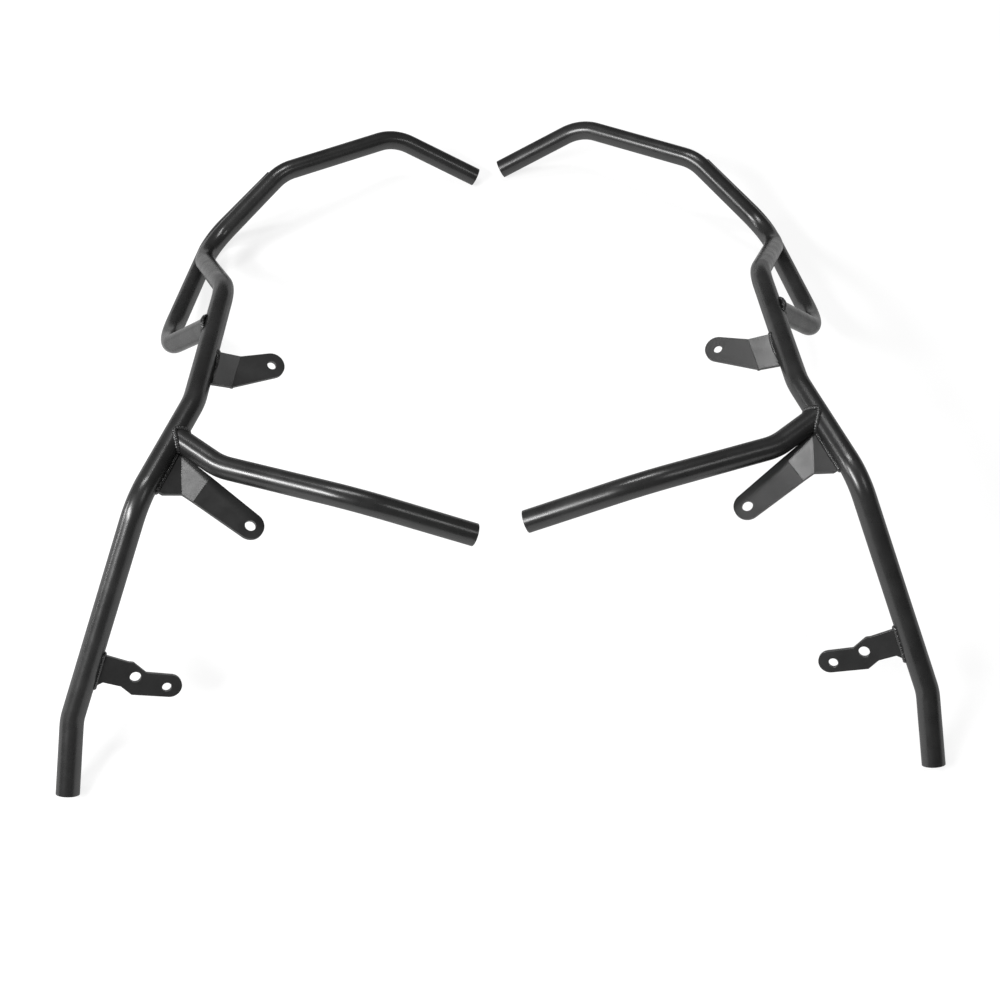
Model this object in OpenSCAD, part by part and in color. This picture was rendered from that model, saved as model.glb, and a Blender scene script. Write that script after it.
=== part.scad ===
// Motorcycle crash bars: a left and a right engine guard of bent and welded round steel tube.
// Millimetres. X = 0 is the plane between the two bars, Z points up, and both bars lie on z = 0
// as they are laid out: each touches the floor at its front tip, its outer loop and its lower end.

/* [Tube] */
// Outside diameter of every tube
tube_od = 22; // [20:1:25]
// Wall thickness of every tube
tube_wall = 2; // [1.5:0.25:3]
// Centre line radius of the bends in the main tube
main_bend = 52; // [46:1:55]
// Centre line radius of the loop tube's front bend, and of the cross tube's bends
small_bend = 37; // [32:1:42]
// Centre line radius of the loop tube's rear bend
rear_bend = 90; // [70:1:96]

/* [Tabs] */
// Thickness of the flat steel tabs
plate = 4; // [3:0.5:5]
// Width of the upper tab's round end
upper_end = 26; // [23:0.5:30]
// Bolt hole in the upper tab
upper_hole = 9; // [7:0.5:11]
// Width of the middle tab's arm
middle_end = 26; // [23:0.5:29]
// Bolt hole in the middle tab
middle_hole = 10.5; // [8.5:0.5:12.5]
// Width of the lower tab's round end
lower_end = 22; // [20:1:26]
// Bolt hole in the lower tab's wide part
lower_hole = 10.5; // [8.5:0.5:11]
// Bolt hole in the lower tab's round end
lower_end_hole = 9; // [7:0.5:11]

/* [Welds] */
// How far a weld bead spreads over the steel on each side of a joint
bead = 3; // [2:0.5:4]

/* [End plugs] */
// Length of a plug inside the tube
plug_depth = 14; // [8:1:25]
// Depth of the shallow dish in a plug's outer face
plug_dish = 1.5; // [1:0.25:3]

/* [Layout] */
// Extra gap added between the two bars
spread = 0; // [0:5:60]
// How much further back the right bar lies than the left bar
stagger = 14; // [0:2:20]

/* [Hidden] */
$fn = 96;
bore = tube_od - 2*tube_wall;
lift = tube_od/2 - 11;
over = 1;
// Puts the middle of the whole pair over the origin
centre_y = -4.89;
// The mark that the bending die leaves where a bend starts and ends
die_gap = 0.01;
die_ring = 0.3;

// Bend points of the left bar, from the front tip round to the lower end
main_a = [-115, 429, 60];
main_b = [-246, 345, 80];
main_c = [-341, 257, 30];
main_d = [-281, 82, 157];
main_e = [-289, -107, 199];
main_f = [-328, -224, 202];
main_g = [-399, -368, 56];
main_tip = on_floor(main_a, [-16, 411, 10]);
main_low = on_floor(main_g, [-406, -420, 7]);
main_path = [main_tip, main_a, main_b, main_c, main_d, main_e, main_f, main_g, main_low];

// Loop tube, from its weld under the main tube to its weld on the inner side of it
loop_path = [[-256, 344, 71], [-335, 307, 7.3], [-365, 101, 44], [-286, 13, 174]];

// Cross tube, from its weld on the main tube to its free end
cross_path = [[-304, -149, 200], [-263, -169, 178], [-129, -233, 208], [-24, -241, 162]];

// Small vector helpers
function unit(v) = v/norm(v);
function angle_between(u, v) = atan2(norm(cross(u, v)), u*v);
// The end point q set to the height at which the square-cut tube end rests on the floor
function ring_height(p, q) =
    [q.x, q.y, tube_od/2*norm([p.x - q.x, p.y - q.y])/norm(p - q) - lift];
function on_floor(p, q) = ring_height(p, ring_height(p, ring_height(p, q)));
// Direction of the stretch that starts at point i, and the angle of the bend at point i
function dir(path, i) = unit(path[i + 1] - path[i]);
function bend_angle(path, i) = angle_between(dir(path, i - 1), dir(path, i));
// How much a bend shortens the stretches on both sides of it, with r the radius at each point
function setback(path, i, r) =
    i == 0 || i == len(path) - 1 ? 0 : r[i]*tan(bend_angle(path, i)/2);

// Puts the children's x, y and z axes along the given directions, with the origin at o
module axes(o, x, y, z) {
    multmatrix([
        [x.x, y.x, z.x, o.x],
        [x.y, y.y, z.y, o.y],
        [x.z, y.z, z.z, o.z],
        [0, 0, 0, 1]
    ]) children();
}

// Points the children's z axis along a direction
module along(o, z) {
    side = abs(z.z) < 0.9 ? [0, 0, 1] : [1, 0, 0];
    x = unit(cross(side, z));
    axes(o, x, cross(z, x), z) children();
}

// Straight round bar from p to q, with extra length at each end
module rod(p, q, d, e0 = 0, e1 = 0) {
    u = unit(q - p);
    along(p - e0*u, u) cylinder(h = norm(q - p) + e0 + e1, d = d);
}

// Solid round bar bent along a path, as a tube bender makes it: straights and true arcs.
// A hair-wide ring of the die's mark joins each arc to the straights beside it.
module bent_rod(path, r, d, e0 = 0, e1 = 0) {
    last = len(path) - 2;
    for (i = [0:last]) {
        u = dir(path, i);
        start = path[i] + u*(setback(path, i, r) + (i > 0 ? die_gap : 0));
        end = path[i + 1] - u*(setback(path, i + 1, r) + (i < last ? die_gap : 0));
        rod(start, end, d, i == 0 ? e0 : 0, i == last ? e1 : 0);
    }
    if (last > 0)
        for (i = [1:last]) {
            u = dir(path, i - 1);
            w = dir(path, i);
            n = unit(cross(u, w));
            start = path[i] - u*setback(path, i, r);
            end = path[i] + w*setback(path, i, r);
            axes(start + cross(n, u)*r[i], -cross(n, u), u, n)
                rotate_extrude(angle = bend_angle(path, i))
                    translate([r[i], 0])
                        circle(d = d);
            rod(start - u*die_ring, start + u*die_ring, d + 2*die_gap);
            rod(end - w*die_ring, end + w*die_ring, d + 2*die_gap);
        }
}

// Flat plate with its mid plane through the given corners
module slab(corners, t) {
    x = unit(corners[1] - corners[0]);
    z = unit(cross(x, corners[len(corners) - 1] - corners[0]));
    y = cross(z, x);
    axes(corners[0], x, y, z)
        translate([0, 0, -t/2])
            linear_extrude(t)
                polygon([for (c = corners) [(c - corners[0])*x, (c - corners[0])*y]]);
}

// Flat arm: from the fold line p-q to a round end about the hole's centre h
module arm(p, q, h, d, t) {
    z = unit(cross(q - p, h - p));
    m = (p + q)/2;
    x = unit(h - m);
    y = cross(z, x);
    reach = norm(h - m);
    function flat(v) = [(v - m)*x, (v - m)*y];
    pf = flat(p);
    qf = flat(q);
    far_p = tangent_point(pf, [reach, 0], d/2, 1);
    far_q = tangent_point(qf, [reach, 0], d/2, -1);
    axes(m, x, y, z)
        translate([0, 0, -t/2])
            linear_extrude(t) {
                polygon([qf, far_q, [reach, 0], far_p, pf]);
                translate([reach, 0]) circle(d = d);
            }
}

// Where the line from p touches the circle about c on the given side
function tangent_point(p, c, r, side) =
    let (
        v = c - p,
        l = norm(v),
        a = atan2(v.y, v.x) + side*asin(r/l),
        s = sqrt(l*l - r*r)
    )
    p + s*[cos(a), sin(a)];

// Hole square through a plate that lies in the plane of p, q and h
module hole(p, q, h, d, t) {
    z = unit(cross(q - p, h - p));
    along(h - z*t, z) cylinder(h = 2*t, d = d);
}

// The outside of the main tube from bend point a to bend point b, grown for a weld bead
module main_part(a, b, grow = 0) {
    bent_rod([for (k = [a:b]) main_path[k]], [for (k = [a:b]) main_bend], tube_od + 2*grow);
}

// Hollow tube bent along a path
module bent_tube(path, r) {
    difference() {
        bent_rod(path, r, tube_od);
        bent_rod(path, r, bore, over, over);
    }
}

module main_tube() { bent_tube(main_path, [for (p = main_path) main_bend]); }

// Half space behind the main tube's axis, as seen from the tube that is welded to it
module behind(i, p, q) {
    u = dir(main_path, i);
    v = q - p;
    z = unit(v - u*(u*v));
    axes(p, u, cross(z, u), z) translate([-40, -30, -40]) cube([80, 60, 40]);
}

// Both ends of the loop tube are coped to the main tube
module loop_tube() {
    difference() {
        bent_tube(loop_path, [0, small_bend, rear_bend, 0]);
        main_part(1, 3);
        main_part(4, 5);
        behind(2, loop_path[0], loop_path[1]);
        behind(4, loop_path[3], loop_path[2]);
    }
}

// The cross tube's end is coped to the main tube, with a fishmouth cut
module cross_tube() {
    difference() {
        bent_tube(cross_path, [0, small_bend, small_bend, 0]);
        main_part(5, 6);
        behind(5, cross_path[0], cross_path[1]);
    }
}

// Weld bead round a coped end: a collar that lies on both tubes
module cope_bead(p, q, a, b, reach, back) {
    difference() {
        intersection() {
            rod(p, p + unit(q - p)*reach, tube_od + 2*bead, back, 0);
            main_part(a, b, bead*0.6);
        }
        main_part(a, b);
        rod(p, q, tube_od, back + over, 0);
        behind(a, p, q);
    }
}

module cross_weld() { cope_bead(cross_path[0], cross_path[1], 5, 6, 30, 15); }
module loop_foot_weld() { cope_bead(loop_path[3], loop_path[2], 4, 5, 30, 15); }
module loop_top_weld() { cope_bead(loop_path[0], loop_path[1], 2, 3, 65, 2); }

// Upper tab: a short face on the main tube, a slight fold and an arm with a round end
upper_foot_a = [-282, -30, 184];
upper_foot_b = [-285, -66, 177];
upper_fold_a = [-254, -30.5, 175];
upper_fold_b = [-261.5, -65, 169];
upper_hole_at = [-224.5, -32, 163];

module upper_tab() {
    difference() {
        union() {
            slab([upper_foot_a, upper_fold_a, upper_fold_b, upper_foot_b], plate);
            rod(upper_fold_a, upper_fold_b, plate + 0.1);
            arm(upper_fold_a, upper_fold_b, upper_hole_at, upper_end, plate);
        }
        hole(upper_fold_a, upper_fold_b, upper_hole_at, upper_hole, plate);
        main_part(4, 5);
    }
}

// Middle tab: a three-cornered foot that slopes down from the tube, a flatter wide face and an
// arm with a round end that slopes down again. The foot's free corner stands off the tube.
middle_foot_a = [-308, -168, 200];
middle_foot_b = [-322, -208.5, 201];
middle_corner = [-308.5, -213.5, 194];
middle_bend_a = [-296, -172, 194];
middle_bend_b = [-292.5, -209, 187.5];
middle_fold_a = [-269, -191, 186];
middle_fold_b = [-282, -215.5, 184.5];
middle_hole_at = [-231.5, -228, 163];

module middle_tab() {
    difference() {
        union() {
            slab([
                middle_foot_a, middle_bend_a, middle_bend_b, middle_corner, middle_foot_b
            ], plate);
            rod(middle_bend_a, middle_bend_b, plate + 0.1);
            slab([middle_bend_a, middle_fold_a, middle_fold_b, middle_bend_b], plate);
            rod(middle_fold_a, middle_fold_b, plate + 0.1);
            arm(middle_fold_a, middle_fold_b, middle_hole_at, middle_end, plate);
        }
        hole(middle_fold_a, middle_fold_b, middle_hole_at, middle_hole, plate);
        main_part(5, 7);
    }
}

// Lower tab: flat, with a flared foot, a wide part, a step down and a round end. It is drawn
// flat and then placed, with x from the tube to the round end and y across the tab.
lower_at = [-350.5, -332.5, 78];
lower_x = [38, -2, -25];
lower_y = [25, 35, 35];
lower_hole_at = [10.5, 0];
lower_end_hole_at = [42, 0];
lower_end_at = [44.5, 2];

module on_lower_plane() {
    x = unit(lower_x);
    z = unit(cross(lower_x, lower_y));
    axes(lower_at, x, cross(z, x), z) children();
}

module lower_outline() {
    step = [18.5, 7];
    wide = [14, -17.5];
    polygon([
        [-32, -22], [-21.5, -21], [-15.5, -14.5], [1.5, -13], wide,
        tangent_point(wide, lower_end_at, lower_end/2, -1), lower_end_at,
        tangent_point(step, lower_end_at, lower_end/2, 1), step,
        [3.5, 12.5], [-1, 11.5], [-32, 10.5]
    ]);
    translate(lower_end_at) circle(d = lower_end);
}

module lower_tab_blank() {
    on_lower_plane() translate([0, 0, -plate/2]) linear_extrude(plate) lower_outline();
}

module lower_tab() {
    difference() {
        lower_tab_blank();
        on_lower_plane() {
            translate([lower_hole_at.x, lower_hole_at.y, -plate])
                cylinder(h = 2*plate, d = lower_hole);
            translate([lower_end_hole_at.x, lower_end_hole_at.y, -plate])
                cylinder(h = 2*plate, d = lower_end_hole);
        }
        main_part(6, 7);
    }
}

// The four corners of a foot, grown along its width for a bead that goes round its edges
function wider(c, g) = [
    c[0] + g*unit(c[0] - c[3]), c[1] + g*unit(c[1] - c[2]),
    c[2] + g*unit(c[2] - c[1]), c[3] + g*unit(c[3] - c[0])
];

// Weld bead round a tab's foot, lying on the main tube. It stands proud of the tube's straight
// stretch and follows the tube itself, up to bend point b, on its inner side.
module tab_bead(corners, a, b) {
    difference() {
        intersection() {
            slab(wider(corners, bead), plate + 2*bead);
            main_part(a, a + 1, bead*0.7);
        }
        slab(corners, plate);
        main_part(a, b);
    }
}

module upper_tab_weld() {
    tab_bead([upper_foot_a, upper_fold_a, upper_fold_b, upper_foot_b], 4, 5);
}

module middle_tab_weld() {
    tab_bead([middle_foot_a, middle_bend_a, middle_corner, middle_foot_b], 5, 7);
}

module lower_tab_weld() {
    difference() {
        intersection() {
            on_lower_plane()
                translate([-32, -22 - bead/2, -plate/2 - bead])
                    cube([20, 31.5 + bead/2, plate + 2*bead]);
            main_part(6, 7, bead*0.7);
        }
        lower_tab_blank();
        main_part(6, 7);
    }
}

// Push-in plug, flush with the tube's end, with a shallow dish in its face
module plug(path, at_start) {
    n = len(path) - 1;
    p = at_start ? path[0] : path[n];
    q = at_start ? path[1] : path[n - 1];
    along(p, unit(q - p))
        difference() {
            translate([0, 0, 0.5]) cylinder(h = plug_depth - 0.5, d = bore);
            cylinder(h = plug_dish + 0.5, d1 = bore - 3, d2 = bore - 7);
        }
}

module tip_plug() { plug(main_path, true); }
module lower_plug() { plug(main_path, false); }
module cross_plug() { plug(cross_path, false); }

// Each bar in its place: the right one is the mirror image of the left one
module on_left() { translate([-spread/2, centre_y - stagger/2, lift]) children(); }
module on_right() { translate([spread/2, centre_y + stagger/2, lift]) mirror([1, 0, 0]) children(); }

steel = [0.13, 0.13, 0.14];
weld = [0.2, 0.2, 0.21];
plastic = [0.07, 0.07, 0.08];

module left_main_tube() { color(steel) on_left() main_tube(); }
module left_loop_tube() { color(steel) on_left() loop_tube(); }
module left_cross_tube() { color(steel) on_left() cross_tube(); }
module left_upper_tab() { color(steel) on_left() upper_tab(); }
module left_middle_tab() { color(steel) on_left() middle_tab(); }
module left_lower_tab() { color(steel) on_left() lower_tab(); }
module left_cross_weld() { color(weld) on_left() cross_weld(); }
module left_loop_top_weld() { color(weld) on_left() loop_top_weld(); }
module left_loop_foot_weld() { color(weld) on_left() loop_foot_weld(); }
module left_upper_tab_weld() { color(weld) on_left() upper_tab_weld(); }
module left_middle_tab_weld() { color(weld) on_left() middle_tab_weld(); }
module left_lower_tab_weld() { color(weld) on_left() lower_tab_weld(); }
module left_tip_plug() { color(plastic) on_left() tip_plug(); }
module left_cross_plug() { color(plastic) on_left() cross_plug(); }
module left_lower_plug() { color(plastic) on_left() lower_plug(); }
module right_main_tube() { color(steel) on_right() main_tube(); }
module right_loop_tube() { color(steel) on_right() loop_tube(); }
module right_cross_tube() { color(steel) on_right() cross_tube(); }
module right_upper_tab() { color(steel) on_right() upper_tab(); }
module right_middle_tab() { color(steel) on_right() middle_tab(); }
module right_lower_tab() { color(steel) on_right() lower_tab(); }
module right_cross_weld() { color(weld) on_right() cross_weld(); }
module right_loop_top_weld() { color(weld) on_right() loop_top_weld(); }
module right_loop_foot_weld() { color(weld) on_right() loop_foot_weld(); }
module right_upper_tab_weld() { color(weld) on_right() upper_tab_weld(); }
module right_middle_tab_weld() { color(weld) on_right() middle_tab_weld(); }
module right_lower_tab_weld() { color(weld) on_right() lower_tab_weld(); }
module right_tip_plug() { color(plastic) on_right() tip_plug(); }
module right_cross_plug() { color(plastic) on_right() cross_plug(); }
module right_lower_plug() { color(plastic) on_right() lower_plug(); }

left_main_tube();
left_loop_tube();
left_cross_tube();
left_upper_tab();
left_middle_tab();
left_lower_tab();
left_cross_weld();
left_loop_top_weld();
left_loop_foot_weld();
left_upper_tab_weld();
left_middle_tab_weld();
left_lower_tab_weld();
left_tip_plug();
left_cross_plug();
left_lower_plug();
right_main_tube();
right_loop_tube();
right_cross_tube();
right_upper_tab();
right_middle_tab();
right_lower_tab();
right_cross_weld();
right_loop_top_weld();
right_loop_foot_weld();
right_upper_tab_weld();
right_middle_tab_weld();
right_lower_tab_weld();
right_tip_plug();
right_cross_plug();
right_lower_plug();
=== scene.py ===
"""Motorcycle crash bars in a white studio: looks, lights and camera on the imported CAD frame."""
import math
import bmesh
import bpy
from mathutils import Matrix, Vector


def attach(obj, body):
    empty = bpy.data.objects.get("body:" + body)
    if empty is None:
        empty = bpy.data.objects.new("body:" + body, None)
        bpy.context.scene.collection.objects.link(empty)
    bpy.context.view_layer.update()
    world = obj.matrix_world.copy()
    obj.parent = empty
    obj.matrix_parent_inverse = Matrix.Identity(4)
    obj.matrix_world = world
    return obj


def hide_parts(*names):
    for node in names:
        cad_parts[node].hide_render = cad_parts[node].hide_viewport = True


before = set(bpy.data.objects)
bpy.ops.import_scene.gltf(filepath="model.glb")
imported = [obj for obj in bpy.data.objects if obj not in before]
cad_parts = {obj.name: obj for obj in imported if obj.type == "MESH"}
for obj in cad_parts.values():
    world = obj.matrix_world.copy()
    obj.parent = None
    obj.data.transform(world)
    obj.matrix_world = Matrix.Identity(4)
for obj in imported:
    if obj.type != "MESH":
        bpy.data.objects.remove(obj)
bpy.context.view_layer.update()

MM = 0.001

# Sizes in the source's millimetres
TUBE = 11                # outer radius
WALL = 2
PLATE = 4
INSET = 0.02             # keeps the swept tubes inside the CAD box
ROUND_EDGE = 0.6         # a tab's broken edges
TUBE_BEAD = 2.5          # radius of the beads on coped tubes
TAB_BEAD = 2.1           # radius of the beads on tabs
RIPPLE = 2.3             # from one ripple of a weld bead to the next
SWING = 0.8              # how far a bead swings out round the edge of a foot
MID_Y = 4.89             # from the source's origin to the frame's
STAGGER = 7              # the right bar lies twice this further back than the left one
CORNER_REACH = 4.2       # a moved corner takes the tab's points this near along

# Shares of a weld bead's radius
HUMP = 0.16              # a ripple's crest over its valley
LIFT = 0.25              # the middle of its section over the seam
LEAN = 0.45              # the lag of its sides behind its crest

# Angles in degrees
FLAT = 0.6               # faces that differ by less are one face
EDGE = 8                 # folds and edges sharper than this are rounded on the tabs
CUT = 35                 # edges sharper than this stay sharp on the tubes
BEND_STEP = 2.5          # of a bend between two rings of a tube

# How finely the swept shapes are stepped
TUBE_SIDES = 64
BEND_RINGS = 6           # at least
BEAD_SIDES = 14
RIPPLE_STEPS = 7
SEAM_STEPS = 240         # round a coped end
FACE_STEPS = 60          # along one face of a tab's foot
EDGE_STEPS = 10          # round its edge


# Materials: everything steel wears the same satin black powder coat

def new_material(name):
    m = bpy.data.materials.new(name)
    m.use_nodes = True
    m.node_tree.nodes.clear()
    return m, m.node_tree.nodes, m.node_tree.links


def noise(n, l, at, scale, detail):
    """A noise texture in the object's own coordinates, with its scale in cycles per metre."""
    t = n.new("ShaderNodeTexNoise")
    t.inputs["Scale"].default_value = scale
    t.inputs["Detail"].default_value = detail
    l.new(at.outputs["Object"], t.inputs["Vector"])
    return t.outputs["Fac"]


def ramp(n, l, value, lo, hi, a=0.3, b=0.7):
    """Maps values from a to b, by default a noise's middle part, on lo to hi."""
    r = n.new("ShaderNodeMapRange")
    r.inputs["From Min"].default_value = a
    r.inputs["From Max"].default_value = b
    r.inputs["To Min"].default_value = lo
    r.inputs["To Max"].default_value = hi
    l.new(value, r.inputs["Value"])
    return r.outputs["Result"]


def powder_coat(name, colour, roughness):
    """Satin black powder coat: orange peel, mottled sheen, a few pale specks of dust, and painted
    shade on the rims, where the specular level falls off towards grazing angles.
    """
    m, n, l = new_material(name)
    out = n.new("ShaderNodeOutputMaterial")
    b = n.new("ShaderNodeBsdfPrincipled")
    # Painted shade: the specular level drops from 0.55 facing the camera to 0.03 at grazing angles,
    # darkening the outlines
    rim = n.new("ShaderNodeLayerWeight")
    rim.inputs["Blend"].default_value = 0.5
    gloss_and_painted_rim_shade = ramp(n, l, rim.outputs["Facing"], lo=0.55, hi=0.03, a=0.33, b=0.75)
    l.new(gloss_and_painted_rim_shade, b.inputs["Specular IOR Level"])
    at = n.new("ShaderNodeTexCoord")
    mottle = noise(n, l, at, scale=38, detail=4)
    tone = ramp(n, l, mottle, lo=colour*0.8, hi=colour*1.25)
    specks = noise(n, l, at, scale=1300, detail=1)
    dust = ramp(n, l, specks, lo=0, hi=colour*1.6, a=0.72, b=0.8)
    total = n.new("ShaderNodeMath")
    total.operation = "ADD"
    l.new(tone, total.inputs[0])
    l.new(dust, total.inputs[1])
    tint = n.new("ShaderNodeCombineColor")
    for c in ("Red", "Green", "Blue"):
        l.new(total.outputs["Value"], tint.inputs[c])
    l.new(tint.outputs["Color"], b.inputs["Base Color"])
    patches = noise(n, l, at, scale=60, detail=3)
    sheen = ramp(n, l, patches, lo=roughness - 0.03, hi=roughness + 0.05)
    l.new(sheen, b.inputs["Roughness"])
    skin = n.new("ShaderNodeBump")
    skin.inputs["Strength"].default_value = 0.1
    skin.inputs["Distance"].default_value = 0.2*MM
    l.new(noise(n, l, at, scale=750, detail=2), skin.inputs["Height"])
    l.new(skin.outputs["Normal"], b.inputs["Normal"])
    l.new(b.outputs["BSDF"], out.inputs["Surface"])
    return m


def plug_plastic():
    """Matt black moulded plastic with a fine spark-eroded grain."""
    m, n, l = new_material("plug_plastic")
    out = n.new("ShaderNodeOutputMaterial")
    b = n.new("ShaderNodeBsdfPrincipled")
    at = n.new("ShaderNodeTexCoord")
    tint = n.new("ShaderNodeCombineColor")
    shade = ramp(n, l, noise(n, l, at, scale=90, detail=2), lo=0.009, hi=0.014)
    for c in ("Red", "Green", "Blue"):
        l.new(shade, tint.inputs[c])
    l.new(tint.outputs["Color"], b.inputs["Base Color"])
    sheen = ramp(n, l, noise(n, l, at, scale=400, detail=2), lo=0.52, hi=0.66)
    l.new(sheen, b.inputs["Roughness"])
    grain = n.new("ShaderNodeBump")
    grain.inputs["Strength"].default_value = 0.3
    grain.inputs["Distance"].default_value = 0.1*MM
    l.new(noise(n, l, at, scale=2500, detail=1), grain.inputs["Height"])
    l.new(grain.outputs["Normal"], b.inputs["Normal"])
    l.new(b.outputs["BSDF"], out.inputs["Surface"])
    return m


coat = powder_coat("satin_black_coat", colour=0.018, roughness=0.27)
coat_tab = powder_coat("satin_black_tab", colour=0.017, roughness=0.31)
coat_bead = powder_coat("satin_black_bead", colour=0.022, roughness=0.24)
plastic = plug_plastic()

for name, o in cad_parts.items():
    if name.endswith("_plug"):
        m = plastic
    elif name.endswith("_weld"):
        m = coat_bead
    elif name.endswith("_tab"):
        m = coat_tab
    else:
        m = coat
    for s in o.material_slots:
        s.material = m


# Helpers for the shapes

def vec(*v):
    return Vector(v)


def bar_to_world(v, side):
    """From the source's millimetres for the left bar to the frame, where side -1 is left."""
    return vec(v[0] if side < 0 else -v[0], v[1] - MID_Y + STAGGER*side, v[2])*MM


def add_object(name, mesh, material):
    """Puts the mesh in the scene in one material."""
    mesh.materials.clear()
    mesh.materials.append(material)
    o = bpy.data.objects.new(name, mesh)
    bpy.context.scene.collection.objects.link(o)
    return o


def closed_mesh(name, verts, faces):
    """A smooth mesh whose faces all look outwards."""
    mesh = bpy.data.meshes.new(name)
    mesh.from_pydata(verts, [], faces)
    bm = bmesh.new()
    bm.from_mesh(mesh)
    bmesh.ops.recalc_face_normals(bm, faces=bm.faces)
    bm.to_mesh(mesh)
    bm.free()
    mesh.shade_smooth()
    return mesh


# Tabs with their edges broken: the laser-cut plate's edges are rounded off before coating

def broken_edges(node, moves=()):
    """A copy of the tab with its edges rounded; moves shifts chosen corners, in millimetres."""
    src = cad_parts[node]
    side = -1 if node.startswith("left") else 1
    bm = bmesh.new()
    bm.from_mesh(src.data)
    bmesh.ops.transform(bm, matrix=src.matrix_world, verts=bm.verts)
    bmesh.ops.remove_doubles(bm, verts=bm.verts, dist=1e-6)
    for at, by in moves:
        corner, step = bar_to_world(at, side), vec(-by[0]*side, by[1], by[2])*MM
        for v in bm.verts:
            if (v.co - corner).length < CORNER_REACH*MM:
                v.co += step
    bmesh.ops.dissolve_limit(bm, angle_limit=math.radians(FLAT), verts=bm.verts, edges=bm.edges)
    mesh = bpy.data.meshes.new(node + "_edged")
    bm.to_mesh(mesh)
    bm.free()
    mesh.shade_smooth()
    o = add_object(node + "_edged", mesh, coat_tab)
    b = o.modifiers.new("edge", "BEVEL")
    b.width = ROUND_EDGE*MM
    b.segments = 3
    b.limit_method = "ANGLE"
    b.angle_limit = math.radians(EDGE)
    b.use_clamp_overlap = True
    b.harden_normals = False
    w = o.modifiers.new("normals", "WEIGHTED_NORMAL")
    w.keep_sharp = False
    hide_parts(node)
    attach(o, "root")


# The middle tab's two upper corners, in millimetres, and how far each moves under the cross tube
CORNERS = [((-296, -172, 194), (0.5, 4.2, 0.7)), ((-269, -191, 186), (1.2, 2.3, 0.2))]
for side in ("left", "right"):
    broken_edges(side + "_upper_tab")
    broken_edges(side + "_middle_tab", CORNERS)
    broken_edges(side + "_lower_tab")


# Seams: where a tube or a tab's foot meets the outside of a tube. The points are in the source's
# millimetres, for the left bar
D, E = vec(-281, 82, 157), vec(-289, -107, 199)
F, G = vec(-328, -224, 202), vec(-399, -368, 56)


def crossing(p, step, a, b):
    """Where the line from p along step leaves the tube about a-b, and the tube's normal there."""
    u = (b - a).normalized()
    w = (p - a) - u*u.dot(p - a)
    s = step - u*u.dot(step)
    half = w.dot(s)/s.dot(s)
    gap = half*half - (w.dot(w) - TUBE*TUBE)/s.dot(s)
    t = -half + math.sqrt(max(gap, 0))
    q = p + step*t
    radial = (q - a) - u*u.dot(q - a)
    return q, radial.normalized()


def cope_seam(p, q, a, b):
    """The closed seam round a tube p-q that is coped to the tube a-b."""
    v = (q - p).normalized()
    e1 = v.orthogonal().normalized()
    e2 = v.cross(e1)
    seam = []
    for k in range(SEAM_STEPS):
        f = 2*math.pi*k/SEAM_STEPS
        out = e1*math.cos(f) + e2*math.sin(f)
        x, radial = crossing(p + out*TUBE, v, a, b)
        seam.append((x, (out + radial).normalized()))
    return seam


def foot_seam(foot_a, foot_b, far_a, far_b, a, b):
    """The closed seam round a flat foot: along one face, round its edge and back."""
    across = foot_b - foot_a
    z = across.cross(far_a - foot_a).normalized()
    wide = across.normalized()
    seam = []

    def at(s, off):
        start = foot_a.lerp(foot_b, s)
        return crossing(start + z*off, far_a.lerp(far_b, s) - start, a, b)

    for turn in (1, -1):
        for k in range(FACE_STEPS):
            s = k/(FACE_STEPS - 1) if turn > 0 else 1 - k/(FACE_STEPS - 1)
            x, radial = at(s, turn*PLATE/2)
            seam.append((x, (radial + z*turn).normalized()))
        end = 1 if turn > 0 else 0
        for k in range(1, EDGE_STEPS):
            f = math.pi*k/EDGE_STEPS
            x, radial = at(end, turn*math.cos(f)*PLATE/2)
            side = z*(turn*math.cos(f)) + wide*(turn*math.sin(f))
            swung = x + wide*(turn*math.sin(f)*SWING)
            seam.append((swung, (radial + side).normalized()))
    return seam


def resample(seam, n):
    """n stations at even steps along a closed seam."""
    count = len(seam)
    steps = [(seam[(k + 1) % count][0] - seam[k][0]).length for k in range(count)]
    total = sum(steps)
    out, k, run = [], 0, 0.0
    for i in range(n):
        want = total*i/n
        while run + steps[k] < want:
            run += steps[k]
            k += 1
        f = (want - run)/max(steps[k], 1e-9)
        p, u = seam[k]
        q, v = seam[(k + 1) % count]
        out.append((p.lerp(q, f), u.lerp(v, f).normalized()))
    return out


# The tubes that are swept anew. The cross tube's foot lies on the camera's side of the main tube,
# and the main tube's fourth bend is rounder than the source's
CROSS = [vec(-304, -149, 200), vec(-259, -184, 197), vec(-129, -233, 208), vec(-24, -241, 162)]
CROSS_BENDS = (62, 110)


def centreline(points, bends):
    """Points and directions along a bent tube's axis, each bend a true arc in short steps."""
    out = [(points[0], (points[1] - points[0]).normalized())]
    for a, p, b, radius in zip(points, points[1:], points[2:], bends):
        u, v = (p - a).normalized(), (b - p).normalized()
        turn = u.angle(v)
        reach = radius*math.tan(turn/2)
        axis = u.cross(v).normalized()
        centre = p - u*reach + axis.cross(u)*radius
        arm = p - u*reach - centre
        steps = max(BEND_RINGS, math.ceil(math.degrees(turn)/BEND_STEP))
        for k in range(steps + 1):
            r = Matrix.Rotation(turn*k/steps, 3, axis)
            out.append((centre + r @ arm, r @ u))
    out.append((points[-1], (points[-1] - points[-2]).normalized()))
    return out


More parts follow.
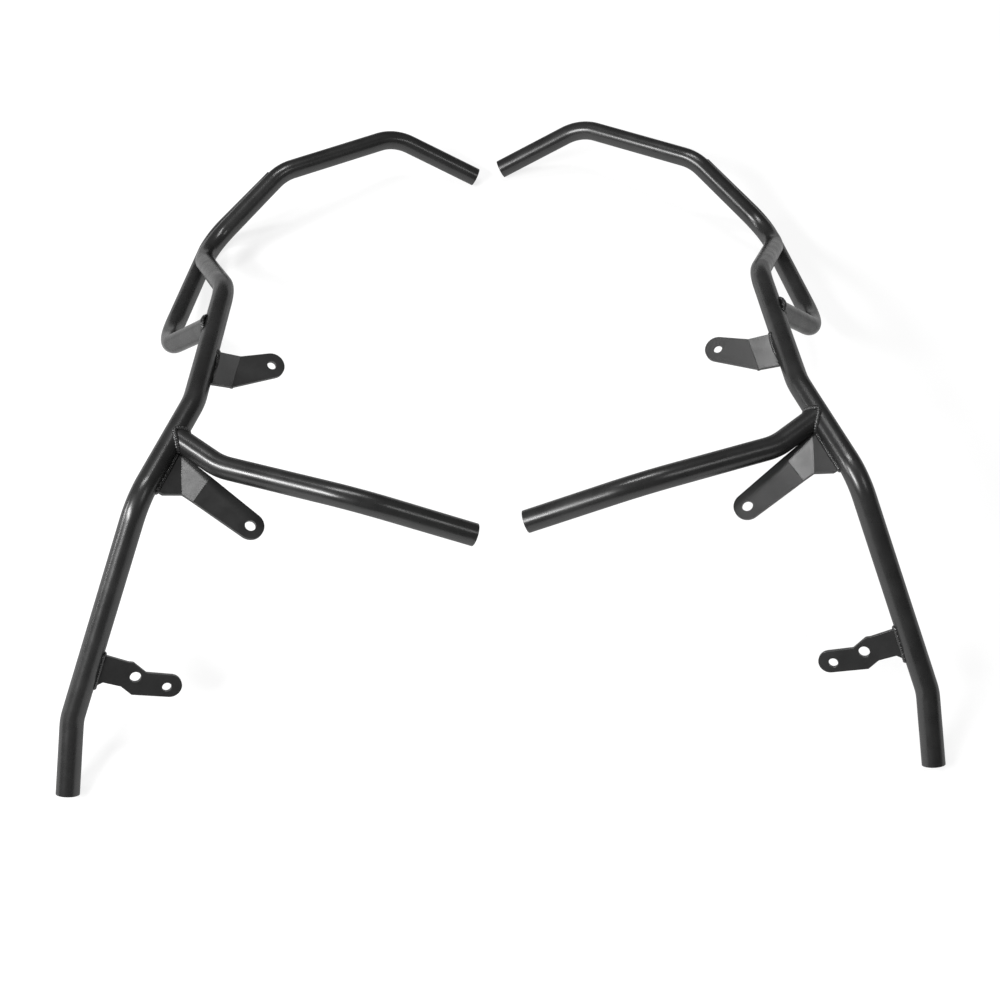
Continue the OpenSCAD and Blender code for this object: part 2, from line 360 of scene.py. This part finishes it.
def bent_tube(kind, points, bends, side, coped=None):
    """A hollow tube swept along its true centre line; coped cuts its first end to a tube."""
    line = centreline(points, bends)
    verts, rings = [], []
    for r in (TUBE - INSET, TUBE - WALL):
        e1 = line[0][1].orthogonal().normalized()
        last = line[0][1]
        for i, (p, d) in enumerate(line):
            e1 = last.rotation_difference(d) @ e1
            e1 = (e1 - d*d.dot(e1)).normalized()
            e2, last = d.cross(e1), d
            ring = []
            for k in range(TUBE_SIDES):
                f = 2*math.pi*k/TUBE_SIDES
                q = p + (e1*math.cos(f) + e2*math.sin(f))*r
                if i == 0 and coped:
                    q, _ = crossing(q, d, *coped)
                ring.append(len(verts))
                verts.append(bar_to_world(q, side))
            rings.append(ring)
    n = len(line)
    loops = rings[:n] + rings[n:][::-1]
    faces = []
    for i, ring in enumerate(loops):
        after = loops[(i + 1) % len(loops)]
        for k in range(TUBE_SIDES):
            j = (k + 1) % TUBE_SIDES
            faces.append((ring[k], ring[j], after[j], after[k]))
    node = ("left_" if side < 0 else "right_") + kind
    mesh = closed_mesh(node + "_smooth", verts, faces)
    mesh.set_sharp_from_angle(angle=math.radians(CUT))
    o = add_object(node + "_smooth", mesh, coat)
    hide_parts(node)
    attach(o, "root")


def on_floor(p, q):
    """The end point p of the stretch p-q, at the height where the cut end's rim meets the floor."""
    p = p.copy()
    for _ in range(6):      # the height settles in a few rounds
        u = (q - p).normalized()
        p.z = TUBE*math.sqrt(1 - u.z*u.z)
    return p


A = vec(-115, 428.92, 60)     # 0.08 mm less in y than the source has, to stay inside the CAD box
MAIN = [on_floor(vec(-16, 411, 10), A), A, vec(-246, 345, 80), vec(-341, 257, 30), D, E, F, G,
        on_floor(vec(-406, -420, 7), G)]
MAIN_BENDS = (52, 52, 52, 95, 52, 52, 52)

for side in (-1, 1):
    bent_tube("main_tube", MAIN, MAIN_BENDS, side)
    bent_tube("cross_tube", CROSS, CROSS_BENDS, side, (E, F))


# Weld beads: a row of overlapping ripples laid along each seam

def bead(node, seam, radius, side):
    """Sweeps a rippled bead along the seam and lets it stand for the smooth CAD bead."""
    length = sum((seam[k][0] - seam[k - 1][0]).length for k in range(len(seam)))
    n = round(length/RIPPLE)*RIPPLE_STEPS
    stations = resample(seam, n)
    verts = []
    for i, (p, up) in enumerate(stations):
        t = (stations[(i + 1) % n][0] - stations[i - 1][0]).normalized()
        up = (up - t*t.dot(up)).normalized()
        across = t.cross(up)
        k, f = divmod(i, RIPPLE_STEPS)
        hump = math.sqrt(max(0, 1 - (2*f/(RIPPLE_STEPS - 1) - 1)**2))
        uneven = 0.05*math.sin(2.4*k) + 0.03*math.sin(5.3*k + 1)
        size = radius*(1 + uneven)
        r = size*(1 - HUMP + HUMP*hump)
        for j in range(BEAD_SIDES):
            a = 2*math.pi*j/BEAD_SIDES
            lift = LIFT*radius + (1 - LIFT)*r*math.cos(a)
            slant = -LEAN*radius*math.sin(a)**2
            verts.append(bar_to_world(p + up*lift + across*(r*math.sin(a)) + t*slant, side))
    faces = []
    for i in range(n):
        for j in range(BEAD_SIDES):
            a, b = i*BEAD_SIDES, ((i + 1) % n)*BEAD_SIDES
            k = (j + 1) % BEAD_SIDES
            faces.append((a + j, a + k, b + k, b + j))
    o = add_object(node + "_rippled", closed_mesh(node + "_rippled", verts, faces), coat_bead)
    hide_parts(node)
    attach(o, "root")


# The lower tab's plane, as the source lays it
lower_at = vec(-350.5, -332.5, 78)
lower_x = vec(38, -2, -25).normalized()
lower_z = vec(38, -2, -25).cross(vec(25, 35, 35)).normalized()
lower_y = lower_z.cross(lower_x)


def on_lower(x, y):
    return lower_at + lower_x*x + lower_y*y


SEAMS = {
    "cross_weld": (cope_seam(CROSS[0], CROSS[1], E, F), TUBE_BEAD),
    "loop_foot_weld": (cope_seam(vec(-286, 13, 174), vec(-365, 101, 44), D, E), TUBE_BEAD),
    "upper_tab_weld": (foot_seam(vec(-282, -30, 184), vec(-285, -66, 177),
                                 vec(-254, -30.5, 175), vec(-261.5, -65, 169), D, E), TAB_BEAD),
    "middle_tab_weld": (foot_seam(vec(-308, -168, 200), vec(-322, -208.5, 201),
                                  vec(-296, -172, 194), vec(-308.5, -213.5, 194), E, F), TAB_BEAD),
    "lower_tab_weld": (foot_seam(on_lower(-32, 10.5), on_lower(-32, -22),
                                 on_lower(-1, 11.5), on_lower(-15.5, -21), F, G), TAB_BEAD),
}

for kind, (seam, radius) in SEAMS.items():
    bead("left_" + kind, seam, radius, -1)
    bead("right_" + kind, seam, radius, 1)


# Floor: white to the camera, to reflections and to transmission, yet keeping a soft shadow
FLOOR_GLOW = 0.82
FAINT_GREY = 0.25        # what the camera sees lit by the lamps, over the glow
PALE_GREY = 0.75         # what the floor throws back on the bars
FLOOR_SIZE = 30


def floor_material():
    m, n, l = new_material("white_floor")
    out = n.new("ShaderNodeOutputMaterial")
    path = n.new("ShaderNodeLightPath")
    rays = path.outputs["Is Camera Ray"]
    for kind in ("Is Glossy Ray", "Is Transmission Ray"):
        either = n.new("ShaderNodeMath")
        either.operation = "MAXIMUM"
        l.new(rays, either.inputs[0])
        l.new(path.outputs[kind], either.inputs[1])
        rays = either.outputs["Value"]
    glow = n.new("ShaderNodeEmission")
    glow.inputs["Color"].default_value = (1, 1, 1, 1)
    glow.inputs["Strength"].default_value = FLOOR_GLOW
    faint = n.new("ShaderNodeBsdfDiffuse")
    faint.inputs["Color"].default_value = (FAINT_GREY, FAINT_GREY, FAINT_GREY, 1)
    seen = n.new("ShaderNodeAddShader")
    l.new(glow.outputs["Emission"], seen.inputs[0])
    l.new(faint.outputs["BSDF"], seen.inputs[1])
    pale = n.new("ShaderNodeBsdfDiffuse")
    pale.inputs["Color"].default_value = (PALE_GREY, PALE_GREY, PALE_GREY, 1)
    mix = n.new("ShaderNodeMixShader")
    l.new(rays, mix.inputs["Fac"])
    l.new(pale.outputs["BSDF"], mix.inputs[1])
    l.new(seen.outputs["Shader"], mix.inputs[2])
    l.new(mix.outputs["Shader"], out.inputs["Surface"])
    return m


bpy.ops.mesh.primitive_plane_add(size=FLOOR_SIZE, location=(0, 0, 0))
floor = bpy.context.object
floor.name = "floor"
floor.data.materials.append(floor_material())


# Light: a key softbox in front to the left, one overhead, a low one at the side, a small fill from
# the right and a dim pale room
AIM = vec(0, 0, 0.1)
ROOM_LIGHT = 0.07


def softbox(name, at, size, watts):
    d = bpy.data.lights.new(name, "AREA")
    d.shape = "RECTANGLE"
    d.size, d.size_y = size
    d.energy = watts
    o = bpy.data.objects.new(name, d)
    bpy.context.scene.collection.objects.link(o)
    o.location = at
    o.rotation_euler = (AIM - Vector(at)).to_track_quat("-Z", "Y").to_euler()


softbox("key", at=(-1.78, -1.2, 1.9), size=(1.5, 0.45), watts=86)
softbox("top", at=(-0.2, 0.78, 2.8), size=(1.3, 0.42), watts=32)
softbox("side", at=(-2.6, -0.1, 0.9), size=(1.0, 0.4), watts=22)
softbox("right_fill", at=(1.5, -0.86, 2.3), size=(0.6, 0.6), watts=6)

world = bpy.data.worlds.new("studio")
bpy.context.scene.world = world
world.use_nodes = True
room = world.node_tree.nodes["Background"]
room.inputs["Color"].default_value = (1, 1, 1, 1)
room.inputs["Strength"].default_value = ROOM_LIGHT


# Camera: fitted to both mirrored bars in the photograph
CAMERA_AT = vec(-25.3, -1072.7, 1334.0)*MM
CAMERA_LOOK = vec(0.01751, 0.59113, -0.80633)
CAMERA_RIGHT = vec(0.99973, -0.02248, 0.00516)

cam_data = bpy.data.cameras.new("camera")
cam_data.lens = 55.8
cam_data.sensor_width = 36
cam_data.clip_end = 100
cam = bpy.data.objects.new("camera", cam_data)
bpy.context.scene.collection.objects.link(cam)
look = CAMERA_LOOK.normalized()
up = CAMERA_RIGHT.normalized().cross(look).normalized()
right = look.cross(up).normalized()
m = Matrix((right, up, -look)).transposed().to_4x4()
m.translation = CAMERA_AT
cam.matrix_world = m
bpy.context.scene.camera = cam
bpy.context.scene.view_settings.view_transform = "Standard"
